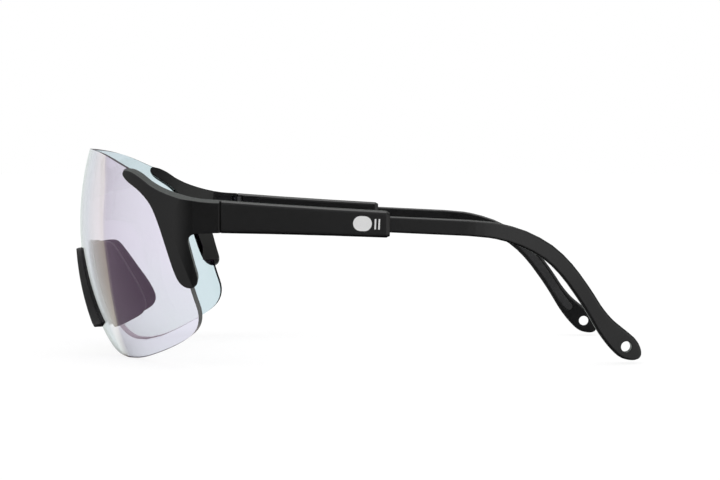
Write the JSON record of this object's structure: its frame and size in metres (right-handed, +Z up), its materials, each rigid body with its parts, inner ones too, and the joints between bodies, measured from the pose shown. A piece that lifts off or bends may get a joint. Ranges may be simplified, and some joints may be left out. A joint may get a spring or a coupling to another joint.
{
  "type": "sports sunglasses",
  "caption": "Wraparound sports sunglasses with a one-piece shield lens, a notch-mounted nose piece and folding temples with sliding, drilled tips.",
  "frame": {"origin": "on the table under the middle of the glasses: the middle of the bounding box's bottom face", "axes": "+X to the wearer's left, -Y towards the front of the lens, +Y along the open temples, +Z up towards the brow"},
  "size_m": [0.1412, 0.1705, 0.0632],
  "materials": {
    "lens": "clear polycarbonate with a pale lilac mirror coat outside and a pale blue inside",
    "nylon": "matte black injection-moulded nylon",
    "rubber": "soft matte dark grey rubber",
    "grip": "dark grey grip rubber",
    "steel": "steel with a black oxide coat"
  },
  "bodies": {
    "front": {"shield_lens": "lens", "nose_bridge": "rubber", "nose_pad_left": "rubber", "nose_pad_right": "rubber", "endpiece_left": "nylon", "endpiece_right": "nylon", "hinge_leaf_front_left": "steel", "hinge_leaf_front_right": "steel", "hinge_screw_left": "steel", "hinge_screw_right": "steel"},
    "left_temple": {"temple_left": "nylon", "hinge_leaf_rear_left": "steel", "stop_pin_left": "steel"},
    "right_temple": {"temple_right": "nylon", "hinge_leaf_rear_right": "steel", "stop_pin_right": "steel"},
    "left_arm": {"temple_tip_left": "nylon", "grip_strip_left": "grip"},
    "right_arm": {"temple_tip_right": "nylon", "grip_strip_right": "grip"}
  },
  "joints": [
    {"name": "fold_left", "type": "hinge", "parent": "front", "child": "left_temple", "pos_m": [0.0662, -0.03734, 0.0435], "axis": [0, 0, 1], "range_deg": [0, 85]},
    {"name": "fold_right", "type": "hinge", "parent": "front", "child": "right_temple", "pos_m": [-0.0662, -0.03734, 0.0435], "axis": [0, 0, -1], "range_deg": [0, 78]},
    {"name": "length_left", "type": "slide", "parent": "left_temple", "child": "left_arm", "axis": [-0.0453, 0.9979, -0.0471], "range_m": [-0.008, 0]},
    {"name": "length_right", "type": "slide", "parent": "right_temple", "child": "right_arm", "axis": [0.0453, 0.9979, -0.0471], "range_m": [-0.008, 0]}
  ]
}
